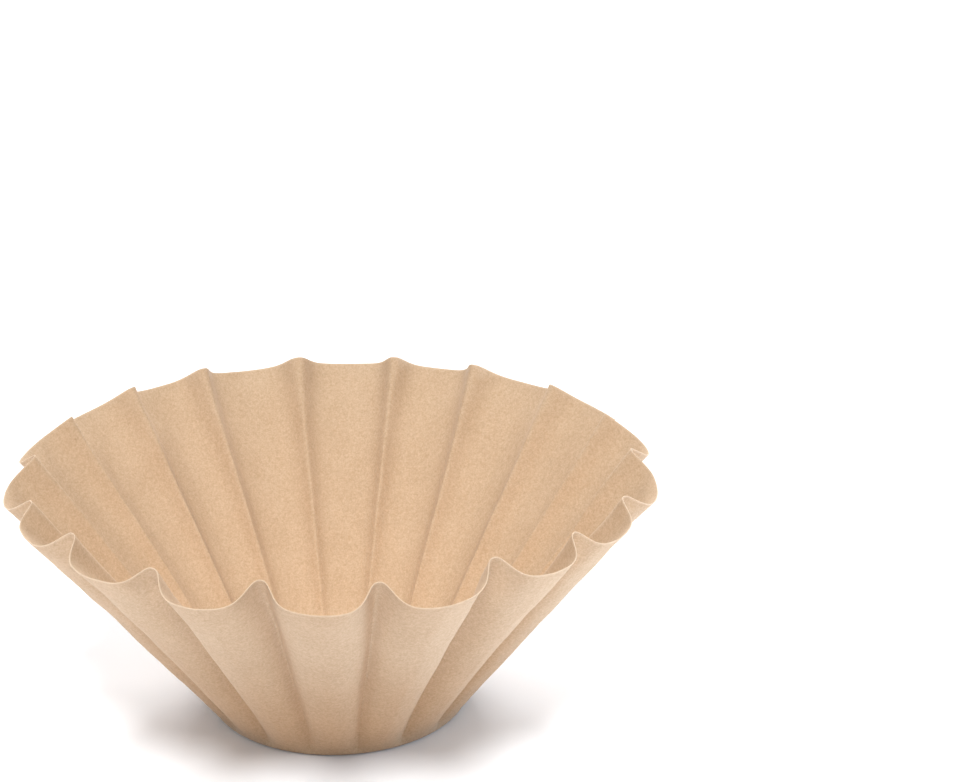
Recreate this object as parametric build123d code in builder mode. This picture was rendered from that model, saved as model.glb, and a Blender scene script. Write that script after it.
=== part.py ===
"""Paper coffee filter: one disc of paper pressed into a flat base and a fluted, flaring wall.

Millimetres, +Z up. The origin is the middle of the base's underside, where the filter stands.
"""

import os
from math import asin, cos, sin, tan

from build123d import *

# The basket, measured on the outside of its lobes
base_diameter = 59.0  # where the wall's line meets the table
rim_diameter = 148.5
wall_length = 72.3  # from the base's edge to the rim, along a lobe
base_bend_radius = 1.6  # inside of the soft bend between base and wall
paper_thickness = 0.2

# The folds between the lobes, measured at the rim; each runs out to a tip near the base
flute_count = 18
fold_depth = 8.0
fold_width = 14.4  # between the shoulders of two lobes
fold_start = 3.0  # from the base's edge up the wall to a fold's tip
fold_tip_lead = 1.6  # how much lower the tip is on the inner skin
fold_tip_rise = 0.15  # how far off the wall the tip is
# Half a fold from its floor out to the lobe: shares of half its width, and of its depth
fold_outline_shares = [(0.11, 1.0), (0.24, 0.9), (0.43, 0.52), (0.68, 0.24), (1.0, 0.075), (1.67, 0)]

cut_overrun = 4.0  # how far a cutting shape reaches past what it cuts

# Worked out from the sizes above
base_radius = base_diameter / 2
rim_radius = rim_diameter / 2
flare = asin((rim_radius - base_radius) / wall_length)  # a lobe's lean from upright
middle_flare = flare - asin(fold_depth / wall_length) / 2  # half way from lobe to fold
rim_height = wall_length * cos(flare)
top_height = rim_height + fold_depth + cut_overrun
up_wall = Vector(sin(flare), 0, cos(flare))
off_wall = Vector(cos(flare), 0, -sin(flare))
first_fold_angle = 180 / flute_count - 90  # half a flute beside the lobe that faces -Y


def plain_basket(inset):
    """The basket before it is fluted, inside a skin: flat base, bend and wall, up past the rim."""
    wall_foot = base_radius - inset * (1 - sin(flare)) / cos(flare)
    with BuildPart() as basket:
        with BuildSketch(Plane.XZ):
            with BuildLine():
                FilletPolyline(
                    (0, inset),
                    (wall_foot, inset),
                    (wall_foot + (top_height - inset) * tan(flare), top_height),
                    (0, top_height),
                    radius=[0, base_bend_radius + paper_thickness - inset, 0, 0],
                    close=True,
                )
            make_face()
        revolve(axis=Axis.Z)
    return basket.part


def fold_cutter(margin, lead):
    """The space in one fold, from its tip to a section past the rim that is grown by a margin."""
    tip = Vector(base_radius, 0, 0) + up_wall * fold_start + off_wall * fold_tip_rise
    reach = wall_length - fold_start + fold_depth + cut_overrun
    growth = reach / (wall_length - fold_start)
    half = []
    for width_share, depth_share in fold_outline_shares:
        depth = fold_depth * depth_share + fold_tip_rise
        half.append((fold_width / 2 * width_share * growth, -depth * growth))
    half.append((half[-1][0], cut_overrun))
    other_half = [(-x, y) for x, y in reversed(half)]
    with BuildPart() as cutter:
        with BuildSketch(Plane(tip + up_wall * reach, x_dir=(0, -1, 0), z_dir=up_wall)) as section:
            with BuildLine():
                Polyline(half + other_half, close=True)
            make_face()
            if margin:
                offset(amount=margin, kind=Kind.INTERSECTION)
        loft([section.sketch.faces()[0], Vertex(*(tip - up_wall * lead))], ruled=True)
    return cutter.part


outer_basket = plain_basket(0)
outer_fold = fold_cutter(0, 0)
inner_basket = plain_basket(paper_thickness)
inner_fold = fold_cutter(paper_thickness, fold_tip_lead)

# The space inside the paper
with BuildPart() as hollow:
    add(inner_basket)
    with PolarLocations(0, flute_count, start_angle=first_fold_angle):
        add(inner_fold, mode=Mode.SUBTRACT)

# The outer skin, with the space taken out of it
with BuildPart() as paper_filter:
    add(outer_basket)
    with PolarLocations(0, flute_count, start_angle=first_fold_angle):
        add(outer_fold, mode=Mode.SUBTRACT)
    add(hollow.part, mode=Mode.SUBTRACT)

    # The disc's cut edge, square to the wall
    waste_top = top_height + rim_radius * tan(middle_flare)
    waste_radius = 2 * rim_radius
    with BuildSketch(Plane.XZ):
        with BuildLine():
            Polyline(
                (0, rim_height + rim_radius * tan(middle_flare)),
                (waste_radius, rim_height + (rim_radius - waste_radius) * tan(middle_flare)),
                (waste_radius, waste_top),
                (0, waste_top),
                close=True,
            )
        make_face()
    revolve(axis=Axis.Z, mode=Mode.SUBTRACT)

paper_filter.part.label = "paper_filter"
os.makedirs("parts", exist_ok=True)
export_step(paper_filter.part, "parts/paper_filter.step")
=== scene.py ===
from math import asin, cos, pi, radians, sin

import bpy
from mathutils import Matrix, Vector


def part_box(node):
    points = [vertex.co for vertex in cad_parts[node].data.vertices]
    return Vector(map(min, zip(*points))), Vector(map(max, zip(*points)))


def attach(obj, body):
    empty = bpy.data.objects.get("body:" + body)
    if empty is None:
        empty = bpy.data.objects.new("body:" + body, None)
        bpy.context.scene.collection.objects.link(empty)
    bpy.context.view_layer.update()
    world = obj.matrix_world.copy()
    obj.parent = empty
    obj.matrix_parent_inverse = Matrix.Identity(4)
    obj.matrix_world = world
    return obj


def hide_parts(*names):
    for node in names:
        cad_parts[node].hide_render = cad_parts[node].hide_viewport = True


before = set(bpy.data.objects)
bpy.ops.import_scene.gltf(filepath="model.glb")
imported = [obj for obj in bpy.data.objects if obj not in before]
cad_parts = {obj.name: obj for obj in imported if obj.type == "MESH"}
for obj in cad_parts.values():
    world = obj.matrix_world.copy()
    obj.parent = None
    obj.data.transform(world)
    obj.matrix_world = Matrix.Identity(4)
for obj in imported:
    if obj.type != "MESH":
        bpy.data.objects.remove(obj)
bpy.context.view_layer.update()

# The filter: one disc of unbleached brown paper, cut about 203 mm across and pressed between two
# fluted moulds, so that a flat base is left in the middle and the wall flares out of it. Nothing is
# glued or sewn. The broad lobes and the narrow folds between them hold the wall open.
paper_thickness = 0.0002
base_radius = 0.0295
bend_radius = 0.0018  # outside of the soft bend between base and wall
flute_count = 18
wall_length = 0.0723
rim_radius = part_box("paper_filter")[1].y  # a lobe faces -Y, and another +Y
flare = asin((rim_radius - base_radius) / wall_length)  # a lobe's lean from upright

fold_depth = 0.0073  # at the rim, square to the wall
fold_half_width = 0.0034  # at the rim, where the fold is half as deep
fold_steepness = 2.7  # the power by which a fold's floor falls away to the lobe beside it
fold_start = 0.0006  # from the base's edge up the wall
fold_growth = 0.68  # the power by which a fold deepens up the wall: fast at first, slower at the rim
fold_rounding = 8  # the power by which a sharp crease turns into the rim's rounder fold: late
tip_depth = 0.0006  # a fold's depth, half width and steepness where it starts
tip_half_width = 0.0016
tip_steepness = 1.5

depth_spread = 0.22  # the share by which one fold is deeper than another
spacing_spread = radians(4)  # how far a flute stands aside at the rim
sway_reach = 0.0024  # how far a lobe leans in or out at the rim
buckle_reach = 0.0011
crinkle_reach = 0.00012
crinkle_onset = 0.15  # the share of the wall up which the crinkle sets in
unevenness_seed = 156.18

columns_per_flute = 36
fold_crowding = 1.35  # how far the columns crowd towards the folds, where the paper is bent most
base_rows = 10
bend_rows = 6
wall_rows = 50
weld_distance = 0.000001
cut_edge_angle = radians(70)  # the shading breaks where the paper turns more sharply than this

paper_pale = (0.67, 0.50, 0.345)
paper_deep = (0.54, 0.38, 0.24)
fibre_brown = (0.36, 0.21, 0.11)
# painted highlight: the pale colour laid along the rim's cut edge, where the edge catches the light
rim_highlight_pale = (0.76, 0.60, 0.44)
cloud_strength = 0.3  # how strongly each shows between the deep and the pale brown
grain_strength = 0.7
speckle_strength = 1.1
fibre_strength = 0.35
# the painted rim highlight: how strong, how wide, and where it is palest
rim_highlight_strength = 0.55
rim_highlight_width = 0.0005
rim_highlight_core = 0.0001  # as pale as the painted rim highlight gets
paper_roughness = 0.86
relief_height = 0.00006


class Wire:
    """An output socket in a node tree. A sum on wires adds its Math nodes, and node() any other node."""

    def __init__(self, tree, socket=None):
        self.tree = tree
        self.socket = socket

    def node(self, kind, settings=None, sockets=None, output=0):
        made = self.tree.nodes.new(kind)
        for name, value in (settings or {}).items():
            setattr(made, name, value)
        for key, value in (sockets or {}).items():
            if isinstance(value, Wire):
                self.tree.links.new(value.socket, made.inputs[key])
            else:
                made.inputs[key].default_value = value
        return Wire(self.tree, made.outputs[output] if made.outputs else None)

    def out(self, output):
        return Wire(self.tree, self.socket.node.outputs[output])

    def maths(self, operation, *others):
        return self.node("ShaderNodeMath", {"operation": operation}, dict(enumerate((self, *others))))

    def __add__(self, other):
        return self.maths("ADD", other)

    __radd__ = __add__

    def __mul__(self, other):
        return self.maths("MULTIPLY", other)

    __rmul__ = __mul__

    def __sub__(self, other):
        return self.maths("SUBTRACT", other)

    def __rsub__(self, other):
        return self * -1 + other

    def __truediv__(self, other):
        return self.maths("DIVIDE", other)

    def __rtruediv__(self, other):
        return self.maths("POWER", -1) * other

    def __pow__(self, other):
        return self.maths("POWER", other)

    def ramp(self, start, end, to_start=0.0, to_end=1.0, kind="LINEAR"):
        """The wire taken from one range to another, held at its ends."""
        sockets = {"Value": self, "From Min": start, "From Max": end, "To Min": to_start, "To Max": to_end}
        return self.node("ShaderNodeMapRange", {"interpolation_type": kind, "clamp": True}, sockets)

    def noise(self, scale, seed, detail):
        """Noise over a vector wire, from about -1 to 1."""
        sockets = {"Vector": self, "W": seed, "Scale": scale, "Detail": detail}
        return self.node("ShaderNodeTexNoise", {"noise_dimensions": "4D"}, sockets) * 2 - 1

    def mix(self, first, second):
        """Two colours mixed by the wire's share of the second."""
        colours = [value if isinstance(value, Wire) else (*value, 1) for value in (first, second)]
        sockets = {0: self, 6: colours[0], 7: colours[1]}
        return self.node("ShaderNodeMix", {"data_type": "RGBA"}, sockets, output=2)


# The paper's surface: soft clouds where the pulp is thicker, a fine grain, stray darker fibres, and a
# painted highlight: a paler line along the cut edge, where the rim catches the light
paper = bpy.data.materials.new("brown_filter_paper")
paper.use_nodes = True
paper.node_tree.nodes.clear()
pulp = Wire(paper.node_tree)
place = pulp.node("ShaderNodeTexCoord", output="Object")
clouds = place.noise(scale=120, seed=1, detail=3)
grain = place.noise(scale=1100, seed=2, detail=3)
speckle = place.noise(scale=2600, seed=3, detail=2)
tone = (0.5 + clouds * cloud_strength + grain * grain_strength + speckle * speckle_strength).ramp(0, 1)
strands = place.noise(scale=420, seed=4, detail=1).maths("ABSOLUTE")
fibre_patches = place.noise(scale=260, seed=5, detail=2).ramp(0.15, 0.45)
fibres = strands.ramp(0.035, 0) * fibre_patches
edge_distance = pulp.node("ShaderNodeAttribute", {"attribute_name": "edge_distance"}, output="Fac")
# painted highlight: paler towards the rim's cut edge
painted_rim_highlight = edge_distance.ramp(rim_highlight_width, rim_highlight_core)
colour = tone.mix(paper_deep, paper_pale)
colour = (fibres * fibre_strength).mix(colour, fibre_brown)
colour = (painted_rim_highlight * rim_highlight_strength).mix(colour, rim_highlight_pale)
relief = grain * 0.6 + speckle * 0.4 + fibres * 0.8
bump = pulp.node("ShaderNodeBump", {}, {"Strength": 0.35, "Distance": relief_height, "Height": relief})
surface = pulp.node(
    "ShaderNodeBsdfPrincipled",
    {},
    {
        "Base Color": colour,
        "Roughness": paper_roughness - grain * 0.06,
        "Specular IOR Level": 0.25,
        "Sheen Weight": 0.08,
        "Sheen Roughness": 0.6,
        "Normal": bump,
    },
)
pulp.node("ShaderNodeOutputMaterial", {}, {"Surface": surface})

# The pressed shape: a flat grid, with columns that go round the disc and rows that go out from its
# middle, is laid over the base, the bend and the wall, and pushed in at the folds
press = bpy.data.node_groups.new("pressed_paper", "GeometryNodeTree")
press.is_modifier = True
press_sizes = {
    "Base Radius": base_radius,
    "Bend Radius": bend_radius,
    "Wall Length": wall_length,
    "Flare": flare,
    "Flute Count": float(flute_count),
    "Fold Depth": fold_depth,
    "Fold Half Width": fold_half_width,
    "Fold Start": fold_start,
    "Unevenness": 1.0,
    "Seed": unevenness_seed,
}
press_sockets = {}
for name in press_sizes:
    press_sockets[name] = press.interface.new_socket(name, in_out="INPUT", socket_type="NodeSocketFloat")
press.interface.new_socket("Paper", in_out="OUTPUT", socket_type="NodeSocketGeometry")

sheet = Wire(press)
asked = sheet.node("NodeGroupInput")
uneven = asked.out("Unevenness")
seed = asked.out("Seed")
lean = asked.out("Flare")
row_count = base_rows + bend_rows + wall_rows
grid = sheet.node(
    "GeometryNodeMeshGrid",
    {},
    {
        "Size X": 1.0,
        "Size Y": 1.0,
        "Vertices X": flute_count * columns_per_flute + 1,
        "Vertices Y": row_count + 1,
    },
)
spot = sheet.node("ShaderNodeSeparateXYZ", {}, {0: sheet.node("GeometryNodeInputPosition")})
around = spot.out("X") + 0.5
row = (spot.out("Y") + 0.5) * row_count

# Up one lobe: the flat base, the bend and the straight wall
bend_turn = pi / 2 - lean
bend_setback = asked.out("Bend Radius") * (bend_turn / 2).maths("TANGENT")
straight_length = asked.out("Wall Length") - bend_setback
flat = row.ramp(0, base_rows, 0, asked.out("Base Radius") - bend_setback)
turn = row.ramp(base_rows, base_rows + bend_rows, 0, bend_turn)
straight = row.ramp(base_rows + bend_rows, row_count, 0, straight_length)
lobe_radius = flat + asked.out("Bend Radius") * turn.maths("SINE") + straight * lean.maths("SINE")
lobe_height = asked.out("Bend Radius") * (1 - turn.maths("COSINE")) + straight * lean.maths("COSINE")
up_wall = (straight + bend_setback) * straight.maths("GREATER_THAN", 0)
risen = up_wall.ramp(0, asked.out("Wall Length"))

# Across one flute: 0 is the fold in its middle, and -1 and 1 are the lobes on both sides
flute = around * asked.out("Flute Count")
flute_number = flute.maths("FLOOR")
across = (flute - flute_number) * 2 - 1
off_fold = across.maths("ABSOLUTE") ** fold_crowding
flute_place = flute_number + 0.5 + across.maths("SIGN") * off_fold / 2
plain_angle = flute_place / asked.out("Flute Count") * 2 * pi - pi / 2
plain_x = plain_angle.maths("COSINE")
plain_y = plain_angle.maths("SINE")
ring = sheet.node("ShaderNodeCombineXYZ", {}, {"X": plain_x, "Y": plain_y})

# The fold: deepest at its middle, wider and deeper up the wall, and no two quite as deep
fold_length = asked.out("Wall Length") - asked.out("Fold Start")
fold_risen = (up_wall - asked.out("Fold Start")).ramp(0, fold_length)
fold_begun = up_wall.ramp(asked.out("Fold Start"), asked.out("Fold Start") * 3, kind="SMOOTHSTEP")
half_width = tip_half_width + (asked.out("Fold Half Width") - tip_half_width) * fold_risen
steepness = tip_steepness + (fold_steepness - tip_steepness) * fold_risen ** fold_rounding
half_pitch = lobe_radius * pi / asked.out("Flute Count")
fall = (off_fold * half_pitch / half_width) ** steepness
depth = tip_depth + (asked.out("Fold Depth") - tip_depth) * fold_risen ** fold_growth
depth = depth * (1 + ring.noise(scale=2.6, seed=seed + 2, detail=1) * uneven * depth_spread)
fold = fold_begun * depth / (1 + fall)

# The paper's own unevenness: flutes spaced more or less widely, lobes that lean more or less, slow
# buckles and a fine crinkle
lobe_place = sheet.node(
    "ShaderNodeCombineXYZ", {}, {"X": lobe_radius * plain_x, "Y": lobe_radius * plain_y, "Z": lobe_height}
)
spacing = ring.noise(scale=1.7, seed=seed + 1, detail=1) * uneven * risen * spacing_spread
angle = plain_angle + spacing
sway = ring.noise(scale=2.1, seed=seed + 3, detail=1) * risen * sway_reach
buckle = lobe_place.noise(scale=55, seed=seed + 4, detail=1) * risen * buckle_reach
crinkle = lobe_place.noise(scale=260, seed=seed + 5, detail=2) * risen.ramp(0, crinkle_onset) * crinkle_reach
pushed_in = fold + (sway + buckle + crinkle) * uneven

# The sheet is put in its place, closed round the disc, and given its paper
radius = lobe_radius - pushed_in * lean.maths("COSINE")
height = lobe_height + pushed_in * lean.maths("SINE")
pressed_place = sheet.node(
    "ShaderNodeCombineXYZ",
    {},
    {"X": radius * angle.maths("COSINE"), "Y": radius * angle.maths("SINE"), "Z": height},
)
marked = sheet.node(
    "GeometryNodeStoreNamedAttribute",
    {"data_type": "FLOAT", "domain": "POINT"},
    {"Geometry": grid, "Name": "edge_distance", "Value": straight_length - straight},
)
pressed = sheet.node("GeometryNodeSetPosition", {}, {"Geometry": marked, "Position": pressed_place})
closed = sheet.node("GeometryNodeMergeByDistance", {}, {"Geometry": pressed, "Distance": weld_distance})
smooth = sheet.node("GeometryNodeSetShadeSmooth", {}, {"Geometry": closed})
whole = sheet.node("GeometryNodeRealizeInstances", {}, {"Geometry": smooth})
papered = sheet.node("GeometryNodeSetMaterial", {}, {"Geometry": whole, "Material": paper})
sheet.node("NodeGroupOutput", {}, {"Paper": papered})

pressed_filter = bpy.data.objects.new("pressed_filter", bpy.data.meshes.new("pressed_filter"))
bpy.context.scene.collection.objects.link(pressed_filter)
pressing = pressed_filter.modifiers.new("press", "NODES")
pressing.node_group = press
for name, value in press_sizes.items():
    pressing[press_sockets[name].identifier] = value
thickness = pressed_filter.modifiers.new("thickness", "SOLIDIFY")
thickness.thickness = paper_thickness
thickness.offset = -1.0
finished_filter = pressed_filter.evaluated_get(bpy.context.evaluated_depsgraph_get())
pressed_filter.data = bpy.data.meshes.new_from_object(finished_filter)
pressed_filter.modifiers.clear()
pressed_filter.data.set_sharp_from_angle(angle=cut_edge_angle)
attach(pressed_filter, "root")
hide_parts("paper_filter")

# The table top: a plain matt white board that the filter stands on. It is seen white, and throws
# duller, warmer light back onto the paper. It keeps the filter's shadow.
table_half_width = 4.0
table_height = -0.00005  # just clear of the paper
table_white = (0.965, 0.98, 1.0, 1)
table_dull = (0.64, 0.51, 0.40, 1)
table_corners = []
for x, y in ((-1, -1), (1, -1), (1, 1), (-1, 1)):
    table_corners.append((x * table_half_width, y * table_half_width, table_height))
table_mesh = bpy.data.meshes.new("table_top")
table_mesh.from_pydata(table_corners, [], [(0, 1, 2, 3)])
table_top = bpy.data.objects.new("table_top", table_mesh)
bpy.context.scene.collection.objects.link(table_top)


def seen_share(tree):
    """1 on what is seen, straight or in gloss or glass, and 0 on what only lights something else."""
    path = tree.node("ShaderNodeLightPath", output="Is Camera Ray")
    seen = path.maths("MAXIMUM", path.out("Is Glossy Ray"))
    return seen.maths("MAXIMUM", path.out("Is Transmission Ray"))


white_top = bpy.data.materials.new("white_table_top")
white_top.use_nodes = True
white_top.node_tree.nodes.clear()
top = Wire(white_top.node_tree)
top_seen = seen_share(top)
top_dull = top.node("ShaderNodeBsdfDiffuse", {}, {"Color": table_dull})
top_white = top.node("ShaderNodeBsdfDiffuse", {}, {"Color": table_white})
top_surface = top.node("ShaderNodeMixShader", {}, {0: top_seen, 1: top_dull, 2: top_white})
top.node("ShaderNodeOutputMaterial", {}, {"Surface": top_surface})
table_mesh.materials.append(white_top)

# The room and its lamps: even white walls, a soft lamp high in front for the inside, and one behind that
# thins the shadow. Four low strips light the wall's undercut side. The one in front is tilted up, and
# the others are nearly level.
room_light = 0.42  # what the walls give; they are seen at 1
room = bpy.data.worlds.new("white_room")
bpy.context.scene.world = room
room.use_nodes = True
room.node_tree.nodes.clear()
air = Wire(room.node_tree)
air_seen = seen_share(air)
air_light = air.node("ShaderNodeBackground", {}, {"Color": (1, 1, 1, 1), "Strength": room_light})
air_white = air.node("ShaderNodeBackground", {}, {"Color": (1, 1, 1, 1), "Strength": 1.0})
air_surface = air.node("ShaderNodeMixShader", {}, {0: air_seen, 1: air_light, 2: air_white})
air.node("ShaderNodeOutputWorld", {}, {"Surface": air_surface})

far_lamps = (
    ("front_lamp", 2.4, radians(14), (radians(31), 0, radians(-3))),
    ("back_lamp", 2.6, radians(30), (radians(-55), 0, 0)),
)
for name, power, softness, aim in far_lamps:
    lamp_data = bpy.data.lights.new(name, "SUN")
    lamp_data.energy = power
    lamp_data.angle = softness
    lamp = bpy.data.objects.new(name, lamp_data)
    lamp.rotation_euler = aim
    bpy.context.scene.collection.objects.link(lamp)

strip_distance = 0.135  # from the filter's middle
strip_length = 0.22
strip_width = 0.03
strip_spread = radians(70)
strip_tint = (0.76, 1.04, 1.36)
strip_powers = (0.0170, 0.0330, 0.0240, 0.0180)  # in front, at the right, behind and at the left
strip_heights = (0.015, 0.040, 0.040, 0.035)
strip_tilts = (radians(113), radians(91), radians(93), radians(95))  # level is 90 degrees
for number, (power, strip_height, tilt) in enumerate(zip(strip_powers, strip_heights, strip_tilts)):
    strip_data = bpy.data.lights.new(f"low_strip_{number}", "AREA")
    strip_data.shape = "RECTANGLE"
    strip_data.size = strip_length
    strip_data.size_y = strip_width
    strip_data.spread = strip_spread
    strip_data.energy = power
    strip_data.color = strip_tint
    strip = bpy.data.objects.new(f"low_strip_{number}", strip_data)
    strip_turn = number * pi / 2
    strip.location = (strip_distance * sin(strip_turn), -strip_distance * cos(strip_turn), strip_height)
    strip.rotation_euler = (tilt, 0, strip_turn)
    strip.visible_camera = False
    bpy.context.scene.collection.objects.link(strip)

# The camera: in front of the filter and well above its rim, a little to the right of its middle, with a
# long lens. It looks past the filter, which stands low at the left of the picture.
camera_data = bpy.data.cameras.new("camera")
camera_data.sensor_width = 36.0
camera_data.lens = 80.6
camera = bpy.data.objects.new("camera", camera_data)
camera.location = (0.0246, -0.4643, 0.2478)
camera.rotation_euler = (radians(69.74), 0, radians(-1.33))
bpy.context.scene.collection.objects.link(camera)
bpy.context.scene.camera = camera
bpy.context.scene.view_settings.view_transform = "Standard"
